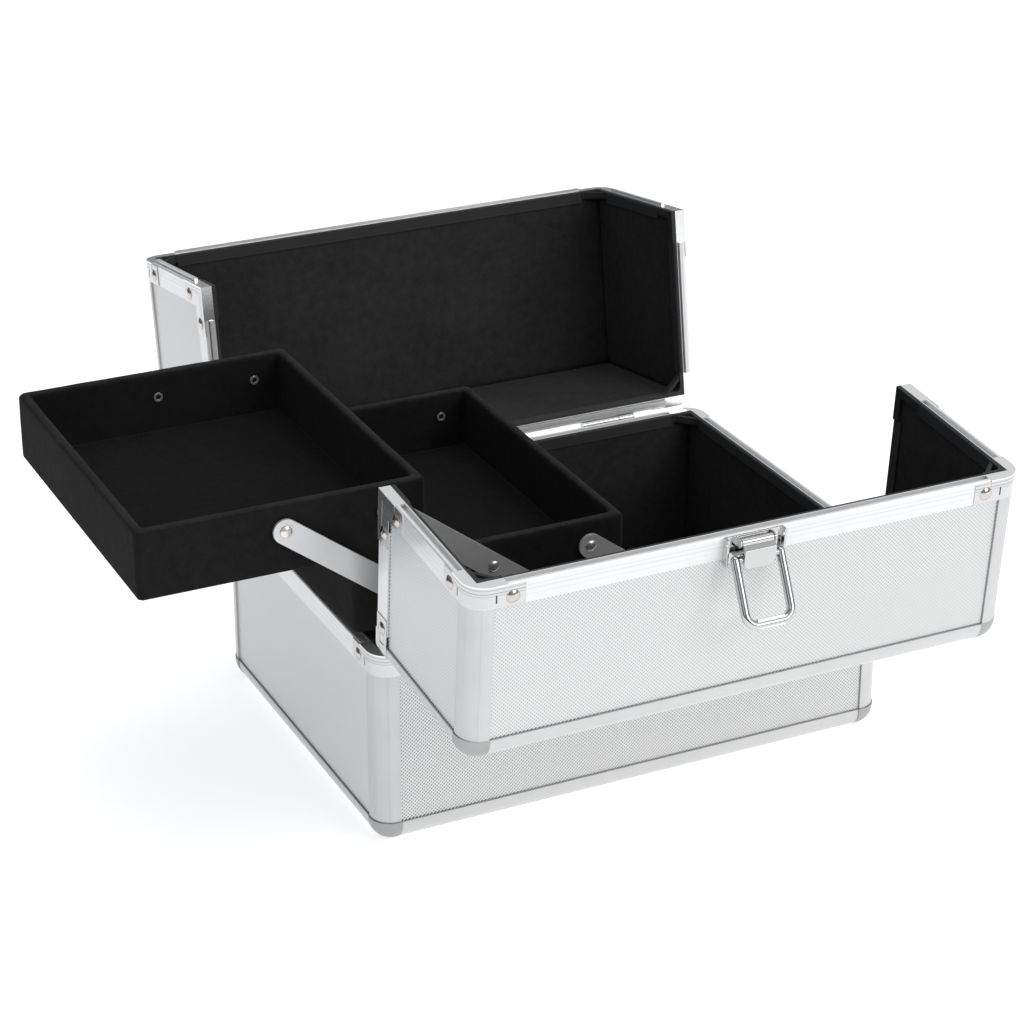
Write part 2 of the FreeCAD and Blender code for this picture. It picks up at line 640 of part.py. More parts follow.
def latch_ring():
    """D-shaped pull ring with a flat grip bar, made hanging along -Y and then leaned outward."""
    pivot = latch_point(0, *RING_PIVOT)
    w, end, r = RING_HALF, RING_LEN, RING_BEND
    k = r * (1 - math.sqrt(0.5))

    def at(x, t):
        return pivot + Vector(x, -t, 0)
    edges = [Part.makeLine(at(-w, 0), at(-w, end - r)),
             Part.Arc(at(-w, end - r), at(-w + k, end - k), at(-w + r, end)).toShape(),
             Part.makeLine(at(-w + r, end), at(w - r, end)),
             Part.Arc(at(w - r, end), at(w - k, end - k), at(w, end - r)).toShape(),
             Part.makeLine(at(w, end - r), at(w, 0))]
    section = Part.Wire([Part.makeCircle(RING_WIRE_R, at(-w, 0), Y)])
    wire = Part.Wire(edges).makePipeShell([section], True, True)
    bar = rod(at(-w, 0), X * 2 * w, RING_BAR_R)
    ends = [Part.makeSphere(RING_WIRE_R, at(x, 0)) for x in (-w, w)]
    grip = Part.makeBox(2 * (w - r + 1), RING_GRIP_H, RING_GRIP_T,
                        at(-(w - r + 1), end + RING_WIRE_R - 0.2) - Z * (RING_GRIP_T / 2))
    ring = wire.fuse([bar, grip] + ends).removeSplitter()
    ring.rotate(pivot, X, -RING_LEAN_DEG)
    return ring


def latch_strike():
    """Hook plate on the rear lid that the ring pulls on when the case is shut."""
    low = Vector(LATCH_X - STRIKE_HALF, REAR_SPLIT, TOP)
    plate = Part.makeBox(2 * STRIKE_HALF, STRIKE_LEN, PLATE_T, low)
    hook = Part.makeBox(STRIKE_HALF, HOOK_T, HOOK_H, low + Vector(STRIKE_HALF / 2, HOOK_AT, 0))
    lip = Part.makeBox(STRIKE_HALF, HOOK_LIP, HOOK_T,
                       low + Vector(STRIKE_HALF / 2, HOOK_AT, HOOK_H - HOOK_T))
    return plate.fuse([hook, lip]).removeSplitter()


def make_latch():
    front = -(HY + HINGE_OUT)
    save("latch_plate", open_lid(latch_plate(), front, FRONT_OPEN_DEG))
    save("latch_pin", open_lid(latch_pin(), front, FRONT_OPEN_DEG))
    save("latch_lever", open_lid(latch_lever(), front, FRONT_OPEN_DEG))
    save("latch_ring", open_lid(latch_ring(), front, FRONT_OPEN_DEG))
    save("latch_strike", open_lid(latch_strike(), HY + HINGE_OUT, -REAR_OPEN_DEG))


# ------------------------------------------------------------------ handle
def handle_mounts():
    """Two riveted plates, each with a lug pin that carries the bail."""
    mounts = []
    for sx in (-1, 1):
        middle = sx * (HANDLE_HALF + MOUNT_W / 2 - HANDLE_BAR)
        plate = box(middle - MOUNT_W / 2, middle + MOUNT_W / 2, HANDLE_Y - MOUNT_L / 2,
                    HANDLE_Y + MOUNT_L / 2, TOP, TOP + MOUNT_T)
        ear_x = sx * (HANDLE_HALF + HANDLE_BAR / 2 + PIVOT_GAP)
        far_x = ear_x + sx * HANDLE_BAR
        x0, x1 = sorted((ear_x, far_x))
        ear = box(x0, x1, HANDLE_Y - HANDLE_LUG_R, HANDLE_Y + HANDLE_LUG_R, TOP, TOP + HANDLE_PIVOT_N)
        eye = rod(Vector(x0, HANDLE_Y, TOP + HANDLE_PIVOT_N), X * HANDLE_BAR, HANDLE_LUG_R)
        pin = rod(Vector(far_x, HANDLE_Y, TOP + HANDLE_PIVOT_N),
                  X * (-sx * (2 * HANDLE_BAR + PIVOT_GAP)), HANDLE_PIN_R)
        rivets = [dome(Vector(middle + sx * 4, HANDLE_Y + d, TOP + MOUNT_T), Z, 2.2, 1.0) for d in (-5.5, 5.5)]
        mounts.append(plate.fuse([ear, eye, pin] + rivets).removeSplitter())
    return mounts


def handle_bail():
    """Two arms that turn on the mounts and a core bar through the grip."""
    pivot_z = TOP + HANDLE_PIVOT_N
    arms = []
    for sx in (-1, 1):
        x0 = sx * HANDLE_HALF - HANDLE_BAR / 2
        eye = rod(Vector(x0, HANDLE_Y, pivot_z), X * HANDLE_BAR, HANDLE_LUG_R)
        arm = box(x0, x0 + HANDLE_BAR, HANDLE_Y, HANDLE_Y + HANDLE_REACH, pivot_z - 3, pivot_z + 3)
        hole = rod(Vector(x0 - 1, HANDLE_Y, pivot_z), X * (HANDLE_BAR + 2), HANDLE_HOLE_R)
        arms.append(eye.fuse(arm).cut(hole))
    core = box(-HANDLE_HALF, HANDLE_HALF, HANDLE_Y + HANDLE_REACH - 3, HANDLE_Y + HANDLE_REACH + 3,
               pivot_z - 3, pivot_z + 3)
    return arms[0].fuse([arms[1], core]).removeSplitter()


def handle_grip(core):
    y = HANDLE_Y + HANDLE_REACH
    z = TOP + HANDLE_PIVOT_N
    grip = box(-GRIP_HALF, GRIP_HALF, y - GRIP_W / 2, y + GRIP_W / 2, z - GRIP_H / 2, z + GRIP_H / 2)
    grip = grip.makeFillet(GRIP_ROUND, [e for e in grip.Edges if abs(e.CenterOfMass.x) < 1])
    return grip.cut(core)


def make_handle():
    """The handle hangs straight down behind the open rear lid."""
    pivot = Vector(0, HANDLE_Y, TOP + HANDLE_PIVOT_N)
    bail = handle_bail()
    grip = handle_grip(bail)
    rear = HY + HINGE_OUT
    hang = REAR_OPEN_DEG - 90.0
    for name, shape in (("handle_bail", bail), ("handle_grip", grip)):
        shape.rotate(pivot, X, hang)
        save(name, open_lid(shape, rear, -REAR_OPEN_DEG))
    save("handle_mounts", group([open_lid(m, rear, -REAR_OPEN_DEG) for m in handle_mounts()]))


# ------------------------------------------------------------------ trays and arms
def arm_step():
    a = math.radians(ARM_REST_DEG)
    return Vector(ARM_PITCH * math.cos(a), 0, ARM_PITCH * math.sin(a))


def tray_parts(left, pivot_z):
    """Walls and floor board of a tray whose left end and pivot height are given."""
    top = pivot_z + PIVOT_BELOW_TOP
    low = top - TRAY_HEIGHT
    right = left + TRAY_LEN
    floor = box(left + TRAY_WALL, right - TRAY_WALL, -TRAY_HALF + TRAY_WALL, TRAY_HALF - TRAY_WALL,
                low, low + TRAY_FLOOR)
    walls = []
    for side in (-1, 1):
        y0, y1 = sorted((side * TRAY_HALF, side * (TRAY_HALF - TRAY_WALL)))
        walls.append(box(left, right, y0, y1, low, top))
    for x0 in (left, right - TRAY_WALL):
        walls.append(box(x0, x0 + TRAY_WALL, -TRAY_HALF + TRAY_WALL, TRAY_HALF - TRAY_WALL, low, top))
    rounded = []
    for wall in walls:
        upper = [e for e in wall.Edges if abs(e.CenterOfMass.z - top) < 0.01 and e.Length > 2 * TRAY_WALL]
        rounded.append(wall.makeFillet(TRAY_ROUND, upper))
    return floor, rounded


def tray_rivets(points):
    """Tubular rivets through the tray walls; the arms turn on them outside."""
    rivets, holes = [], []
    for side in (-1, 1):
        out = Y * side
        for x, z in points:
            inside = Vector(x, side * (TRAY_HALF - TRAY_WALL), z)
            end = Vector(x, side * (ARM_FACE + ARM_T + PIVOT_GAP), z)
            pin = rod(inside, end - inside, PIVOT_R)
            head = dome(end, out, PIVOT_HEAD_R, HEAD_H)
            tail = rod(inside, out * -TUBE_END_H, TUBE_END_R)
            bore = rod(inside - out * (TUBE_END_H + 1), out * (TUBE_BORE_DEPTH + 1), TUBE_BORE_R)
            rivets.append(pin.fuse([head, tail]).removeSplitter().cut(bore))
            holes.append(rod(inside - out, end - inside + out * 2, PIVOT_R))
    return rivets, holes


def make_tray(name, left, pivot_z, pivots):
    points = [(left + p, pivot_z) for p in pivots]
    floor, walls = tray_parts(left, pivot_z)
    rivets, holes = tray_rivets(points)
    save(name + "_floor", floor)
    save(name + "_walls", group([w.cut(holes) for w in walls]))
    save(name + "_rivets", group(rivets))


def arm(start, end, pivots):
    """Flat bar with round ends and a clear hole at each pivot, one for each side of the trays."""
    run = end - start
    side = run.cross(Y)
    side.normalize()
    half = ARM_WIDTH / 2
    bars = []
    for y in (-ARM_FACE - ARM_T, ARM_FACE):
        lift = Y * y
        bar = polygon_face([start + side * half + lift, end + side * half + lift,
                            end - side * half + lift, start - side * half + lift]).extrude(Y * ARM_T)
        ends = [rod(p + lift, Y * ARM_T, half) for p in (start, end)]
        holes = [rod(p + lift - Y, Y * (ARM_T + 2), PIVOT_HOLE_R) for p in pivots]
        bars.append(bar.fuse(ends).removeSplitter().cut(holes))
    return group(bars)


def make_trays_and_arms():
    step = arm_step()
    foot = Vector(LONG_ARM_X, 0, ARM_Z)
    second_foot = foot + X * (TRAY_PIVOTS[2] - TRAY_PIVOTS[1])
    middle = foot + step
    head = middle + step
    lower_left = middle.x - TRAY_PIVOTS[1]
    upper_left = head.x - TRAY_PIVOTS[2]
    make_tray("lower_tray", lower_left, middle.z, TRAY_PIVOTS)
    make_tray("upper_tray", upper_left, head.z, TRAY_PIVOTS[1:])
    save("long_arms", arm(foot, head, [foot, middle, head]))
    save("lower_arms", arm(second_foot, second_foot + step, [second_foot, second_foot + step]))
    outer = Vector(lower_left + TRAY_PIVOTS[0], 0, middle.z)
    save("upper_arms", arm(outer, outer + step, [outer, outer + step]))
    return [(foot.x, foot.z), (second_foot.x, second_foot.z)]


arm_points = make_trays_and_arms()
make_base(arm_points)
make_lid("front_lid", -1, FRONT_SPLIT, False, FRONT_OPEN_DEG)
make_lid("rear_lid", 1, REAR_SPLIT, True, -REAR_OPEN_DEG)
make_latch()
make_handle()
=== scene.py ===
import math
import random

import bmesh
import bpy
from mathutils import Matrix, Vector, noise

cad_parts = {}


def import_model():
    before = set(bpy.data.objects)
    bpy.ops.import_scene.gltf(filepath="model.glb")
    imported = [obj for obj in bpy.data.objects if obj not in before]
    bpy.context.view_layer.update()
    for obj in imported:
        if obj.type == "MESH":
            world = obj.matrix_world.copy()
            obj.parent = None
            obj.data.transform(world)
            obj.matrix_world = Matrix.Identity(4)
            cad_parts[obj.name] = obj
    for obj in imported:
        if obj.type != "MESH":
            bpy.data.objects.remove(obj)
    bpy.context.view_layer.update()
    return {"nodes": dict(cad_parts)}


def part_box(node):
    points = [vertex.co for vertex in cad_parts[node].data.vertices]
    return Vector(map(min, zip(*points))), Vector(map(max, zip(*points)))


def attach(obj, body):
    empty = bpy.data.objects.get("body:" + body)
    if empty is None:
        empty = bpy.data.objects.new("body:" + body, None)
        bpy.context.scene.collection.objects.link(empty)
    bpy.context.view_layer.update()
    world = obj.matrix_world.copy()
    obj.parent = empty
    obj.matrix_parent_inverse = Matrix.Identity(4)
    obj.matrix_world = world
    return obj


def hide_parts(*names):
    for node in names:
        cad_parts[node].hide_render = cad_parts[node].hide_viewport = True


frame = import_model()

NODES = frame["nodes"]
MM = 0.001

# Open angles of the two lids and the line of their hinges, as the CAD has them.
FRONT_TURN = math.radians(95)
REAR_TURN = math.radians(-99)
HINGE_Y = 0.109
HINGE_Z = 0.110

# Sizes of the case as the CAD has them, in metres.
WALL_IN_X = 0.1445      # inside faces of the walls
WALL_IN_Y = 0.102
FELT = 0.0013           # thickness of a lining sheet
BOARD_IN = 0.0055       # inside face of a board below its outer face
RIM_SEAT = 0.0045       # linings end this far below the rim's plane
LID_TOP = 0.214
FRONT_SPLIT = -0.0105   # plane where each lid ends against the other when shut
REAR_SPLIT = -0.0095
HALF_X = 0.150
HALF_Y = 0.1075
EDGE = 0.0125           # width of an edge profile on each face


# ------------------------------------------------------------------ node helpers
class Net:
    """A material's node tree with short calls for the nodes used here."""

    def __init__(self, name):
        self.material = bpy.data.materials.new(name)
        self.material.use_nodes = True
        self.tree = self.material.node_tree
        self.shader = self.tree.nodes["Principled BSDF"]

    def add(self, kind, inputs=(), **settings):
        node = self.tree.nodes.new("ShaderNode" + kind)
        for key, value in settings.items():
            setattr(node, key, value)
        for key, value in dict(inputs).items():
            self.feed(node, key, value)
        return node

    def feed(self, node, key, value):
        if isinstance(value, bpy.types.NodeSocket):
            self.tree.links.new(value, node.inputs[key])
        else:
            node.inputs[key].default_value = value

    def math(self, operation, a, b=0.0, c=0.0):
        return self.add("Math", {0: a, 1: b, 2: c}, operation=operation).outputs[0]

    def ramp(self, factor, stops):
        node = self.add("ValToRGB", {0: factor})
        elements = node.color_ramp.elements
        while len(elements) < len(stops):
            elements.new(0.5)
        for element, (position, colour) in zip(elements, stops):
            element.position = position
            element.color = (*colour, 1)
        return node.outputs[0]

    def band(self, value, low, high, to_low, to_high):
        return self.add("MapRange", {0: value, 1: low, 2: high, 3: to_low, 4: to_high}).outputs[0]

    def place(self, turn=0.0, scale=(1, 1, 1)):
        """Object coordinates, turned about a lid's hinge so that it reads as if it were shut."""
        where = self.add("TexCoord").outputs["Object"]
        hinge = Vector((0, math.copysign(HINGE_Y, turn), HINGE_Z)) if turn else Vector((0, 0, 0))
        shift = hinge - Matrix.Rotation(turn, 3, "X") @ hinge
        shut = self.add("Mapping", {"Vector": where, "Rotation": (turn, 0, 0), "Location": shift})
        return self.times(shut.outputs[0], scale)

    def times(self, a, b):
        """One vector or colour times another, channel by channel."""
        return self.add("VectorMath", {0: a, 1: b}, operation="MULTIPLY").outputs[0]

    def noise(self, where, scale, detail=2.0, roughness=0.5):
        node = self.add("TexNoise", {"Vector": where, "Scale": scale, "Detail": detail,
                                     "Roughness": roughness})
        return node.outputs[0]

    def bump(self, height, strength, distance, normal=None):
        inputs = {"Height": height, "Strength": strength, "Distance": distance}
        if normal is not None:
            inputs["Normal"] = normal
        return self.add("Bump", inputs).outputs[0]

    def soft_edges(self, radius):
        return self.add("Bevel", {"Radius": radius}, samples=6).outputs[0]

    def finish(self, **values):
        for key, value in values.items():
            self.feed(self.shader, key.replace("_", " "), value)
        return self.material


def grey(value, warm=0.0):
    return (value * (1 + warm), value, value * (1 - warm))


# ------------------------------------------------------------------ materials
PANEL_TONE = 0.71
PYRAMID = 1.45 * MM     # spacing of the embossed grooves
SEAM = 0.7 * MM         # reach of the shadow where a groove runs under a profile's flange


def panel_material(name, axes, turn, window, relief_and_shade):
    """Silver-white laminate with crossed grooves painted darker as shade and crests painted lighter as
    highlight, by a contrast set per panel for how light falls on it; window is its visible field when
    shut, with a painted shadow along its edges under the profiles' flanges.
    """
    net = Net(name)
    split = net.add("SeparateXYZ", {0: net.place(turn)})
    a, b = (split.outputs[axis] for axis in axes)
    grooves = []
    for operation in ("SUBTRACT", "ADD"):
        along = net.math("DIVIDE", net.math(operation, a, b), PYRAMID * math.sqrt(2))
        wave = net.math("ABSOLUTE", net.math("SUBTRACT", net.math("FRACT", along), 0.5))
        grooves.append(net.band(wave, 0.14, 0.46, 0.0, 1.0))
    crossing = net.math("MULTIPLY", *grooves)
    # painted shade: the grooves along one diagonal are painted darker than along the other, for the
    # side the light falls from
    lines = net.math("ADD", net.math("MULTIPLY", grooves[0], 0.42),
                     net.math("MULTIPLY", grooves[1], 0.16))
    deep = net.math("ADD", lines, net.math("MULTIPLY", crossing, 0.42))
    wear = net.noise(net.place(turn), 900, 3)
    mottled = net.math("ADD", deep, net.math("MULTIPLY", net.math("SUBTRACT", wear, 0.5), 0.16))
    # painted highlight on the crests and painted shade in the grooves, with a contrast chosen per
    # panel for how the light falls on it
    crest, slope, groove = (PANEL_TONE - relief_and_shade * drop for drop in (-0.05, 0.06, 0.50))
    colour = net.ramp(mottled, [(0.02, grey(crest)), (0.45, grey(slope)), (0.95, grey(groove))])
    nearest = 1.0
    for value, (start, end) in zip((a, b), window):
        if start is not None:
            nearest = net.math("MINIMUM", nearest, net.math("SUBTRACT", value, start))
        if end is not None:
            nearest = net.math("MINIMUM", nearest, net.math("SUBTRACT", end, value))
    # painted shadow along the window's edges where the profiles' flanges overhang the panel, dotted
    # where the grooves run under them
    teeth = net.band(grooves[0], 0.2, 0.6, 0.0, 1.0)
    reach = net.math("SUBTRACT", nearest, net.math("MULTIPLY", teeth, SEAM))
    dark = net.math("MULTIPLY", net.band(reach, 0.0, 0.3 * MM, 1.0, 0.0),
                    net.band(teeth, 0, 1, 0.4, 0.92))
    seam_shadow = net.math("SUBTRACT", 1.0, dark)
    colour = net.times(colour, seam_shadow)
    rough = net.band(deep, 0, 1, 0.34, 0.5)
    normal = net.bump(net.math("SUBTRACT", 1.0, deep), 0.5 * relief_and_shade, 0.25 * MM)
    return net.finish(Base_Color=colour, Roughness=rough, Metallic=0.25, Normal=normal)


RIM_DEPTH = 12 * MM
FLOCK_IN = 5.6 * MM     # from here inward the rim is flocked black like the lining
FLOCK_SHADE = 0.048     # flocked black as a share of the bare metal's tone
# painted highlight: the upper lip is painted brighter than the sides, as if lit from above
LIT_LIP_TONE = 0.96         # the rim's upper lip, brighter than its sides


def drawn_metal(name, tone, rough, stretch, turn=0.0, metallic=1.0, edge=0.35, streak=0.06,
                warm=0.0):
    """Metal with fine drawing lines that run along the axis with the small stretch value."""
    net = Net(name)
    where = net.place(turn, stretch)
    lines = net.noise(where, 1400, 3, 0.6)
    patches = net.noise(net.place(turn), 60, 3)
    colour = net.ramp(patches, [(0.3, grey(tone * 0.95, warm)), (0.7, grey(tone, warm))])
    roughness = net.band(lines, 0.3, 0.7, rough - streak, rough + streak)
    normal = net.bump(lines, streak * 0.65, 0.02 * MM, net.soft_edges(edge * MM))
    return net.finish(Base_Color=colour, Roughness=roughness, Metallic=metallic, Normal=normal)


def rim_material(name, tone, rough, metallic, lines, turn, splits):
    """Bright rim metal with painted shade lines for its ridges at fixed depths below the rim's plane,
    and a painted highlight on its upper lip.
    """
    net = Net(name)
    split = net.add("SeparateXYZ", {0: net.place(turn)})
    depth = net.math("ABSOLUTE", net.math("SUBTRACT", split.outputs[2], HINGE_Z))
    for rim in splits:
        other = net.math("ABSOLUTE", net.math("SUBTRACT", split.outputs[1], rim))
        depth = net.math("MINIMUM", depth, other)
    # painted highlight on the upper lip, and painted shade at each ridge line
    stops = [(0.0, grey(LIT_LIP_TONE)), (0.08, grey(tone))]
    for line, drop in lines:
        stops += [(line - 0.04, grey(tone)), (line, grey(tone * drop)), (line + 0.03, grey(tone))]
    colour = net.ramp(net.band(depth, 0, RIM_DEPTH, 0, 1), stops)
    from_end, from_side = (net.math("SUBTRACT", half, net.math("ABSOLUTE", split.outputs[axis]))
                           for axis, half in enumerate((HALF_X, HALF_Y)))
    inward = net.math("MINIMUM", from_end, from_side)
    if splits:
        inward = net.math("MINIMUM", inward, net.math("SUBTRACT", LID_TOP, split.outputs[2]))
    flocked = net.band(inward, FLOCK_IN, FLOCK_IN + 0.1 * MM, 0, 1)
    bare = net.math("SUBTRACT", 1.0, flocked)
    cloudy = net.band(net.noise(net.place(turn), 90, 2), 0, 1, 0.96, 1.04)
    shade = net.math("MULTIPLY", net.math("MAXIMUM", bare, FLOCK_SHADE), cloudy)
    colour = net.times(colour, shade)
    roughness = net.math("MAXIMUM", flocked, rough)
    shine = net.math("MULTIPLY", bare, metallic)
    return net.finish(Base_Color=colour, Roughness=roughness, Metallic=shine)


def felt_material(name, tone, turn=0.0, rim=None):
    """Black felt of matted fibres and uneven pile, with a painted sheen that makes it paler along a
    rim at that height.
    """
    net = Net(name)
    where = net.place(turn)
    fibres = net.noise(where, 2600, 4, 0.7)
    pile = net.noise(where, 180, 4, 0.65)
    cloud = net.noise(where, 16, 3)
    mixed = net.math("ADD", net.math("MULTIPLY", fibres, 0.5), net.math("MULTIPLY", pile, 0.35))
    shade = net.math("ADD", mixed, net.math("MULTIPLY", cloud, 0.3))
    colour = net.ramp(shade, [(0.35, grey(tone * 0.55, 0.02)), (0.8, grey(tone * 1.6, 0.02))])
    if rim is not None:
        level = net.add("SeparateXYZ", {0: where}).outputs[2]
        ragged = net.math("ADD", level, net.math("MULTIPLY", pile, 0.8 * MM))
        # painted sheen: the felt is painted paler just below the rim
        rim_sheen = net.band(ragged, rim - 0.9 * MM, rim, 1.0, 2.0)
        colour = net.times(colour, rim_sheen)
    height = net.math("ADD", fibres, net.math("MULTIPLY", pile, 1.5))
    normal = net.bump(height, 0.35, 0.35 * MM, net.soft_edges(0.6 * MM))
    return net.finish(Base_Color=colour, Roughness=1.0, Normal=normal, Sheen_Weight=0.04,
                      Sheen_Roughness=0.4, Sheen_Tint=(0.9, 0.9, 0.9, 1), Specular_IOR_Level=0.05)


# Directions that drawing lines run along.
ALONG_X = (0.02, 1, 1)
ALONG_Z = (1, 1, 0.02)
ALL_WAYS = (1, 1, 1)


def paint(material, *names):
    for name in names:
        data = NODES[name].data
        data.materials.clear()
        data.materials.append(material)


# Visible fields of the panels between their edge profiles; None is an end without a painted seam
# shadow.
FIELD_X = (-HALF_X + EDGE, HALF_X - EDGE)
FIELD_Y = (-HALF_Y + EDGE, HALF_Y - EDGE)
OPEN = (None, None)
RIGHT_SEAM_SHADOW = (None, HALF_X - EDGE)

# Tones, and the painted shade lines of the ridges on rails and connectors as (share of the rim's
# depth, shade).
SATIN = 0.62
RIM_TONE = 0.80
CREST_TONE = 0.62
RAIL_SHADE_LINES = ((0.24, 0.86), (0.42, 0.82), (0.66, 0.9))
CREST_SHADE_LINES = ((0.14, 0.6), (0.30, 0.5), (0.42, 0.7))


def paint_base():
    height = (EDGE, None)
    paint(panel_material("base_wall_laminate", (0, 2), 0.0, (RIGHT_SEAM_SHADOW, height), 1.5),
          "base_front_panel", "base_rear_panel")
    paint(panel_material("base_flat_laminate", (0, 1), 0.0, (FIELD_X, FIELD_Y), 0.6),
          "base_bottom_panel")
    paint(panel_material("base_side_laminate", (1, 2), 0.0, (OPEN, height), 0.25),
          "base_side_panels")
    paint(drawn_metal("base_upright_satin", SATIN, 0.4, ALONG_Z, metallic=0.45),
          "base_upright_profiles")
    paint(drawn_metal("base_bottom_satin", SATIN, 0.4, ALL_WAYS, metallic=0.45),
          "base_bottom_profiles")
    paint(rim_material("base_rim_bright", RIM_TONE, 0.3, 0.45, RAIL_SHADE_LINES, 0.0, ()),
          "base_long_rails", "base_side_rails")
    paint(rim_material("base_connector_chrome", CREST_TONE, 0.16, 0.75, CREST_SHADE_LINES, 0.0, ()),
          "base_rail_connectors")
    paint_trim("base", 0.0)


def paint_lid(prefix, side, split, turn):
    far = side * HALF_Y
    fold = (None, far - EDGE) if side > 0 else (far + EDGE, None)
    height = (HINGE_Z + RIM_DEPTH, LID_TOP - EDGE)
    paint(panel_material(prefix + "_wall_laminate", (0, 2), turn, (RIGHT_SEAM_SHADOW, height), 0.8),
          prefix + "_wall_panel")
    paint(panel_material(prefix + "_flat_laminate", (0, 1), turn, (RIGHT_SEAM_SHADOW, fold), 0.8),
          prefix + "_top_panel")
    paint(panel_material(prefix + "_side_laminate", (1, 2), turn, (fold, (height[0], None)), 0.25),
          prefix + "_side_panels")
    paint(drawn_metal(prefix + "_long_satin", SATIN, 0.4, ALONG_X, turn, 0.45),
          prefix + "_long_profile")
    paint(drawn_metal(prefix + "_short_satin", SATIN, 0.4, ALL_WAYS, turn, 0.45),
          prefix + "_short_profiles")
    paint(rim_material(prefix + "_rim_bright", RIM_TONE, 0.3, 0.45, RAIL_SHADE_LINES, turn, (split,)),
          prefix + "_hinge_rail", prefix + "_top_rail", prefix + "_side_rails")
    crest = rim_material(prefix + "_connector_chrome", CREST_TONE, 0.16, 0.75, CREST_SHADE_LINES, turn,
                         (split,))
    paint(crest, prefix + "_connectors")
    paint_trim(prefix, turn)


def paint_trim(prefix, turn):
    """Corner caps, rivets and hinge leaves of the base or of a lid."""
    paint(drawn_metal(prefix + "_cap_grey", 0.38, 0.36, ALL_WAYS, turn, edge=0.4),
          prefix + "_corner_caps")
    paint(drawn_metal(prefix + "_rivet_nickel", 0.55, 0.2, ALL_WAYS, turn, warm=0.06),
          prefix + "_connector_rivets")
    paint(drawn_metal(prefix + "_hinge_nickel", 0.6, 0.25, ALONG_X, turn, edge=0.2),
          prefix + "_hinge_leaves")


paint_base()
paint_lid("front_lid", -1, FRONT_SPLIT, -FRONT_TURN)
paint_lid("rear_lid", 1, REAR_SPLIT, -REAR_TURN)

POLISHED = 0.008        # streak of a polished surface
paint(drawn_metal("latch_chrome", 0.56, 0.10, ALL_WAYS, -FRONT_TURN, edge=0.4, streak=POLISHED),
      "latch_plate", "latch_lever", "latch_ring")
paint(drawn_metal("strike_chrome", 0.66, 0.12, ALL_WAYS, -REAR_TURN, edge=0.3, streak=POLISHED),
      "latch_strike")
paint(drawn_metal("pin_steel", 0.6, 0.3, ALONG_X), "latch_pin", "hinge_pins")
paint(drawn_metal("arm_steel", 0.72, 0.36, ALL_WAYS, metallic=0.5, edge=0.2, streak=0.02),
      "long_arms", "lower_arms", "upper_arms")
paint(drawn_metal("pivot_nickel", 0.74, 0.26, ALL_WAYS, metallic=0.8, edge=0.3, warm=0.04),
      "lower_tray_rivets", "upper_tray_rivets", "base_arm_pivots")
paint(drawn_metal("handle_chrome", 0.66, 0.14, ALL_WAYS, edge=0.4, streak=POLISHED),
      "handle_bail", "handle_mounts")


# ------------------------------------------------------------------ soft pieces
def make_object(name, bm, material, body):
    mesh = bpy.data.meshes.new(name)
    bmesh.ops.recalc_face_normals(bm, faces=bm.faces)
    bm.to_mesh(mesh)
    bm.free()
    for face in mesh.polygons:
        face.use_smooth = True
    mesh.materials.append(material)
    piece = bpy.data.objects.new(name, mesh)
    bpy.context.scene.collection.objects.link(piece)
    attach(piece, body)
    return piece


def rounded_loop(half_x, half_y, radius, step, corner_steps=6):
    """Points round a rounded rectangle, about a step apart along its straight sides."""
    points = []
    counts = (max(2, round(2 * half_x / step)), max(2, round(2 * half_y / step)))
    centres = ((half_x - radius, -half_y + radius, -90), (half_x - radius, half_y - radius, 0),
               (-half_x + radius, half_y - radius, 90), (-half_x + radius, -half_y + radius, 180))
    for index, (cx, cy, start) in enumerate(centres):
        for k in range(corner_steps + 1):
            angle = math.radians(start + 90 * k / corner_steps)
            points.append(Vector((cx + radius * math.cos(angle), cy + radius * math.sin(angle), 0)))
        after = centres[(index + 1) % 4]
        angle = math.radians(after[2])
        end = Vector((after[0] + radius * math.cos(angle), after[1] + radius * math.sin(angle), 0))
        begin = points[-1]
        count = counts[1] if index % 2 == 0 else counts[0]
        points += [begin.lerp(end, k / count) for k in range(1, count)]
    return points


def skin_loops(bm, loops):
    """Quads between successive loops of equal length."""
    rings = [[bm.verts.new(p) for p in loop] for loop in loops]
    for low, high in zip(rings, rings[1:]):
        for k in range(len(low)):
            nxt = (k + 1) % len(low)
            bm.faces.new((low[k], low[nxt], high[nxt], high[k]))
    return rings


def ripple(bm, seed, amount, wavelength, keep):
    """Small uneven swell where keep allows it, always the same for a seed."""
    random.seed(seed)
    shift = Vector((random.random(), random.random(), random.random())) * 50
    bm.normal_update()
    for vertex in bm.verts:
        if not keep(vertex.co):
            continue
        wave = noise.noise(vertex.co / wavelength + shift)
        fine = noise.noise(vertex.co / (wavelength * 0.3) - shift)
        vertex.co += vertex.normal * amount * (wave + 0.35 * fine)


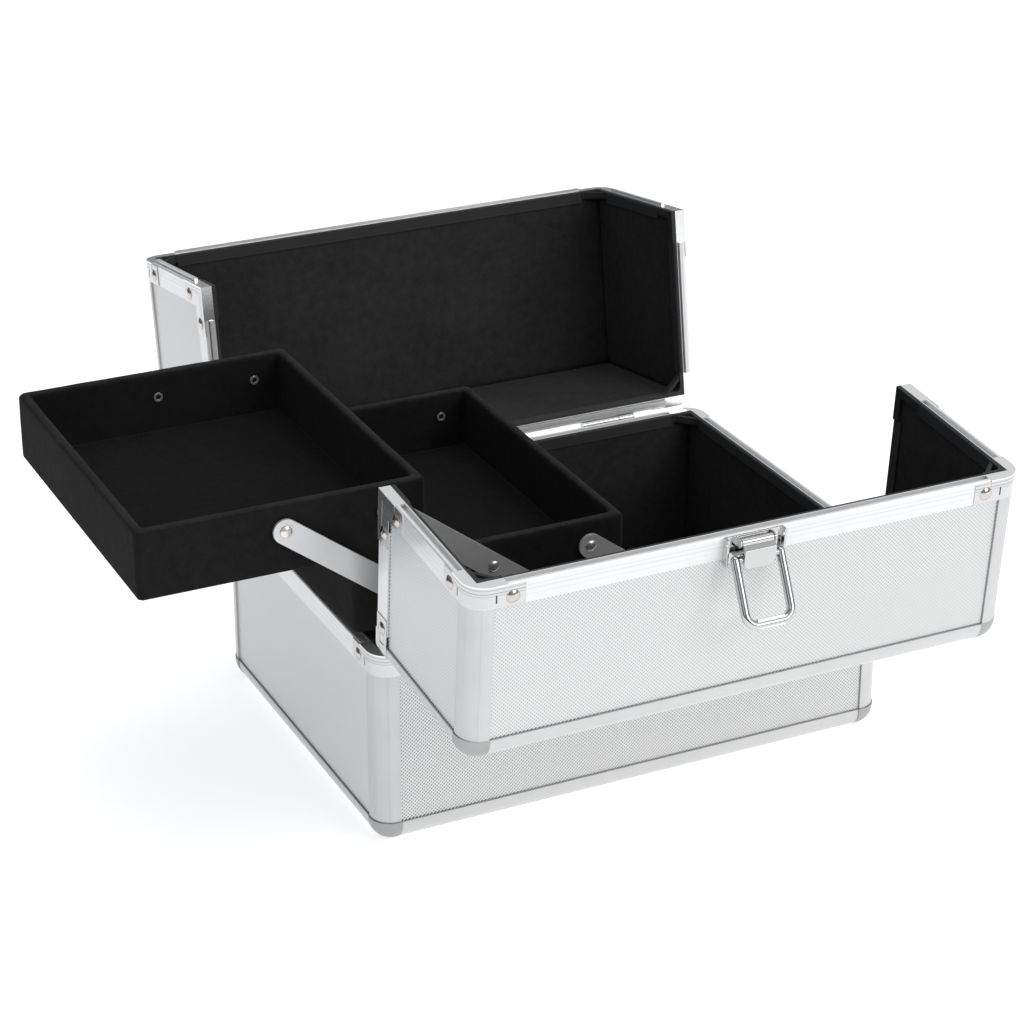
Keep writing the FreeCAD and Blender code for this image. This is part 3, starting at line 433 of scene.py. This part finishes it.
def grid_pad(bm, half_x, half_y, low, high, edge, cells):
    """A thin cloth-covered board with a dense top and softly turned edges."""
    count_x, count_y = cells
    rows = []
    for j in range(count_y + 1):
        row = []
        for i in range(count_x + 1):
            x = -half_x + 2 * half_x * i / count_x
            y = -half_y + 2 * half_y * j / count_y
            gap = min(half_x - abs(x), half_y - abs(y), edge) / edge
            drop = (high - low) * 0.6 * (1 - math.sqrt(max(0.0, 1 - (1 - gap) ** 2)))
            row.append(bm.verts.new((x, y, high - drop)))
        rows.append(row)
    for j in range(count_y):
        for i in range(count_x):
            bm.faces.new((rows[j][i], rows[j][i + 1], rows[j + 1][i + 1], rows[j + 1][i]))
    border = ([rows[0][i] for i in range(count_x + 1)]
              + [rows[j][-1] for j in range(1, count_y + 1)]
              + [rows[-1][i] for i in range(count_x - 1, -1, -1)]
              + [rows[j][0] for j in range(count_y - 1, 0, -1)])
    base = [bm.verts.new((v.co.x, v.co.y, low)) for v in border]
    for k in range(len(border)):
        nxt = (k + 1) % len(border)
        bm.faces.new((border[nxt], border[k], base[k], base[nxt]))
    bm.faces.new(base)


TRAY_WALL = 5.6 * MM    # padded wall of a tray
TRAY_RIM = 2.7 * MM     # height of the soft turn over its top
TRAY_TONE = 0.0135
# painted shade: the floor felt is darker than the walls' felt to offset the light from above
TRAY_FLOOR_SHADED_TONE = 0.0095
LINING_TONE = 0.034


def wall_section(low, high, floor_top):
    """Section of a tray's wall, bottom to rim to inside: (inset, height, corner radius in mm)."""
    foot = low + 0.9 * MM
    shoulder = high - TRAY_RIM
    turned = low + 0.2 * MM
    stack = [(TRAY_WALL, turned, 1.0), (0.8 * MM, low, 1.4), (0.2 * MM, turned, 1.7), (0.0, foot, 1.9)]
    for k in range(1, 12):
        stack.append((0.0, foot + (shoulder - foot) * k / 11, 1.9))
    for k in range(1, 10):
        angle = math.pi * k / 10
        stack.append((TRAY_WALL / 2 * (1 - math.cos(angle)), shoulder + TRAY_RIM * math.sin(angle),
                      1.9 - 0.07 * k))
    for k in range(0, 12):
        stack.append((TRAY_WALL, shoulder - (shoulder - floor_top + 0.8 * MM) * k / 11, 1.2))
    return stack


def felt_tray(name, body, seed):
    """Felt-wrapped tray: one padded wall that turns over a soft rim, and a felt floor board."""
    low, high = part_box(name + "_walls")
    floor_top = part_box(name + "_floor")[1].z
    middle = (low + high) / 2
    half = (high - low) / 2
    material = felt_material(name + "_cloth", TRAY_TONE, rim=high.z)
    bm = bmesh.new()
    loops = []
    for inset, z, radius in wall_section(low.z, high.z, floor_top):
        flat = rounded_loop(half.x - inset, half.y - inset, radius * MM, 3 * MM)
        if loops and len(flat) != len(loops[0]):
            flat = resample(flat, len(loops[0]))
        loops.append([Vector((p.x + middle.x, p.y + middle.y, z)) for p in flat])
    rings = skin_loops(bm, loops)
    bm.faces.new(rings[0])
    ripple(bm, seed, 0.16 * MM, 14 * MM, lambda co: co.z > low.z + 1 * MM)
    walls = make_object(name + "_felt_walls", bm, material, body)
    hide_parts(name + "_walls", name + "_floor")

    bm = bmesh.new()
    clear = TRAY_WALL + 0.1 * MM
    grid_pad(bm, half.x - clear, half.y - clear, floor_top - 1.2 * MM, floor_top, 2.5 * MM,
             (60, 76))
    ripple(bm, seed + 1, 0.25 * MM, 30 * MM, lambda co: co.z > floor_top - 0.6 * MM)
    bmesh.ops.translate(bm, verts=bm.verts, vec=(middle.x, middle.y, 0))
    cloth = felt_material(name + "_floor_cloth", TRAY_FLOOR_SHADED_TONE)
    pad = make_object(name + "_felt_floor", bm, cloth, body)


def resample(points, count):
    """The same closed loop with another number of points."""
    lengths = [0.0]
    closed = points + points[:1]
    for a, b in zip(closed, closed[1:]):
        lengths.append(lengths[-1] + (b - a).length)
    total = lengths[-1]
    result = []
    index = 0
    for k in range(count):
        target = total * k / count
        while lengths[index + 1] < target:
            index += 1
        share = (target - lengths[index]) / max(lengths[index + 1] - lengths[index], 1e-9)
        result.append(closed[index].lerp(closed[index + 1], share))
    return result


felt_tray("lower_tray", "lower_tray", 11)
felt_tray("upper_tray", "upper_tray", 23)


def felt_sheet(bm, origin, u, v, normal, size_u, size_v, cells, thick):
    """One lining sheet; u and v are its directions and normal points into the case."""
    rows = []
    for j in range(cells[1] + 1):
        row = []
        for i in range(cells[0] + 1):
            s, t = i / cells[0], j / cells[1]
            inset = min(s * size_u, (1 - s) * size_u, t * size_v, (1 - t) * size_v)
            edge = min(inset, 2 * MM) / (2 * MM)
            lift = thick * (0.45 + 0.55 * math.sqrt(1 - (1 - edge) ** 2))
            flat = origin + u * (s * size_u) + v * (t * size_v)
            row.append(bm.verts.new(flat + normal * lift))
        rows.append(row)
    for j in range(cells[1]):
        for i in range(cells[0]):
            bm.faces.new((rows[j][i], rows[j][i + 1], rows[j + 1][i + 1], rows[j + 1][i]))
    back = [bm.verts.new(origin + u * (a * size_u) + v * (b * size_v))
            for a, b in ((0, 0), (1, 0), (1, 1), (0, 1))]
    bm.faces.new(back)
    sides = ([rows[0][i] for i in range(cells[0] + 1)],
             [rows[j][-1] for j in range(cells[1] + 1)],
             [rows[-1][i] for i in range(cells[0], -1, -1)],
             [rows[j][0] for j in range(cells[1], -1, -1)])
    for k, side in enumerate(sides):
        bm.faces.new(side + [back[(k + 1) % 4], back[k]])


def lining(name, body, sheets, turn, hinge_y, seed):
    """Felt lining of the base or a lid, made on the shut case and then turned open."""
    bm = bmesh.new()
    for origin, u, v, normal, size_u, size_v in sheets:
        cells = (max(2, round(size_u / (4 * MM))), max(2, round(size_v / (4 * MM))))
        directions = (Vector(way) for way in (origin, u, v, normal))
        felt_sheet(bm, *directions, size_u, size_v, cells, FELT)
    bm.normal_update()
    shift = Vector((seed * 3.1, seed * 1.7, seed))
    for vertex in bm.verts:
        if len(vertex.link_faces) == 4:
            vertex.co += vertex.normal * 0.22 * MM * noise.noise(vertex.co / (26 * MM) + shift)
    pivot = Vector((0, hinge_y, HINGE_Z))
    bmesh.ops.rotate(bm, verts=bm.verts, cent=pivot, matrix=Matrix.Rotation(turn, 3, "X"))
    cloth = felt_material(name + "_cloth", LINING_TONE, -turn)
    piece = make_object(name + "_felt", bm, cloth, body)
    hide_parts(name)


X, Y, Z = (1, 0, 0), (0, 1, 0), (0, 0, 1)
NX, NY, NZ = (-1, 0, 0), (0, -1, 0), (0, 0, -1)


def base_sheets():
    low = BOARD_IN
    high = HINGE_Z - RIM_SEAT
    rise = high - low
    length, width = 2 * WALL_IN_X, 2 * WALL_IN_Y
    return [((-WALL_IN_X, -WALL_IN_Y, low), X, Y, Z, length, width),
            ((-WALL_IN_X, -WALL_IN_Y, low), X, Z, Y, length, rise),
            ((WALL_IN_X, WALL_IN_Y, low), NX, Z, NY, length, rise),
            ((-WALL_IN_X, WALL_IN_Y, low), NY, Z, X, width, rise),
            ((WALL_IN_X, -WALL_IN_Y, low), Y, Z, NX, width, rise)]


def lid_sheets(side, split):
    low = HINGE_Z + RIM_SEAT
    high = LID_TOP - BOARD_IN
    far = side * WALL_IN_Y
    near = split + side * RIM_SEAT
    run = abs(far - near)
    length = 2 * WALL_IN_X
    inward = (0, -side, 0)
    return [((-WALL_IN_X, far, high), X, inward, NZ, length, run),
            ((-WALL_IN_X, far, low), X, Z, inward, length, high - low),
            ((-WALL_IN_X, far, low), inward, Z, X, run, high - low),
            ((WALL_IN_X, far, low), inward, Z, NX, run, high - low)]


lining("base_lining", "base", base_sheets(), 0.0, 0.0, 1)
lining("front_lid_lining", "front_lid", lid_sheets(-1, FRONT_SPLIT), FRONT_TURN, -HINGE_Y, 2)
lining("rear_lid_lining", "rear_lid", lid_sheets(1, REAR_SPLIT), REAR_TURN, HINGE_Y, 3)


# ------------------------------------------------------------------ handle grip
def grip_material():
    net = Net("grip_black")
    pores = net.noise(net.place(), 1500, 4, 0.6)
    colour = net.ramp(pores, [(0.3, grey(0.012)), (0.7, grey(0.022))])
    rough = net.band(pores, 0.3, 0.7, 0.5, 0.68)
    return net.finish(Base_Color=colour, Roughness=rough, Normal=net.bump(pores, 0.3, 0.1 * MM))


paint(grip_material(), "handle_grip")


# ------------------------------------------------------------------ floor, light, camera
MIDDLE = (0, 0, 0.1)


def floor():
    bm = bmesh.new()
    bmesh.ops.create_grid(bm, x_segments=2, y_segments=2, size=6)
    mesh = bpy.data.meshes.new("floor")
    bm.to_mesh(mesh)
    bm.free()
    net = Net("floor_white")
    shade = net.noise(net.place(), 3, 2)
    pale = net.ramp(shade, [(0.3, grey(0.86)), (0.7, grey(0.88))])
    mesh.materials.append(net.finish(Base_Color=pale, Roughness=0.9, Emission_Color=(1, 1, 1, 1),
                                     Emission_Strength=0.63))
    plane = bpy.data.objects.new("floor", mesh)
    bpy.context.scene.collection.objects.link(plane)


def softbox(name, place, size, power):
    """Area lamp that looks at the middle of the case."""
    data = bpy.data.lights.new(name, "AREA")
    data.shape = "RECTANGLE"
    data.size, data.size_y = size
    data.energy = power
    lamp = bpy.data.objects.new(name, data)
    lamp.location = place
    lamp.rotation_euler = (Vector(MIDDLE) - Vector(place)).to_track_quat("-Z", "Y").to_euler()
    bpy.context.scene.collection.objects.link(lamp)


def world():
    """Pale studio, darker at the horizon and on the left, which bright metal mirrors."""
    studio = bpy.data.worlds.new("studio")
    bpy.context.scene.world = studio
    studio.use_nodes = True
    tree = studio.node_tree
    where = tree.nodes.new("ShaderNodeTexCoord")
    split = tree.nodes.new("ShaderNodeSeparateXYZ")
    ramp = tree.nodes.new("ShaderNodeValToRGB")
    stops = ((0.0, 0.12), (0.10, 0.18), (0.22, 0.62), (1.0, 1.0))
    elements = ramp.color_ramp.elements
    for position, _ in stops[1:-1]:
        elements.new(position)
    for element, (position, value) in zip(elements, stops):
        element.position = position
        element.color = (*grey(value), 1)
    across = tree.nodes.new("ShaderNodeMapRange")
    across.inputs[1].default_value = -1.0
    sides = tree.nodes.new("ShaderNodeValToRGB")
    sides.color_ramp.elements[0].color = (0.22, 0.24, 0.29, 1)
    sides.color_ramp.elements[1].color = (1.0, 1.0, 0.99, 1)
    shade = tree.nodes.new("ShaderNodeVectorMath")
    shade.operation = "MULTIPLY"
    tree.links.new(where.outputs["Generated"], split.inputs[0])
    tree.links.new(split.outputs[2], ramp.inputs[0])
    tree.links.new(split.outputs[0], across.inputs[0])
    tree.links.new(across.outputs[0], sides.inputs[0])
    tree.links.new(ramp.outputs[0], shade.inputs[0])
    tree.links.new(sides.outputs[0], shade.inputs[1])
    tree.links.new(shade.outputs[0], tree.nodes["Background"].inputs[0])


SENSOR = 36             # width of the sensor, in mm
LENS = 100.16           # focal length, in mm
LOOK_DOWN = 25.08       # degrees below level
LOOK_ROUND = 25.65      # degrees round from the front towards the case's left side


def camera():
    data = bpy.data.cameras.new("camera")
    data.lens = LENS
    data.sensor_width = SENSOR
    data.clip_end = 50
    lens = bpy.data.objects.new("camera", data)
    lens.location = (-0.630, -1.264, 0.776)
    lens.rotation_euler = (math.radians(90 - LOOK_DOWN), 0, math.radians(-LOOK_ROUND))
    bpy.context.scene.collection.objects.link(lens)
    bpy.context.scene.camera = lens


floor()
world()
softbox("key", (1.1, -2.3, 1.5), (1.4, 1.2), 19)
softbox("fill", (-2.0, -1.6, 1.2), (1.2, 1.2), 3.5)
softbox("top", (0.3, 0.2, 2.8), (2.0, 1.6), 13)
camera()
bpy.context.scene.view_settings.view_transform = "Standard"
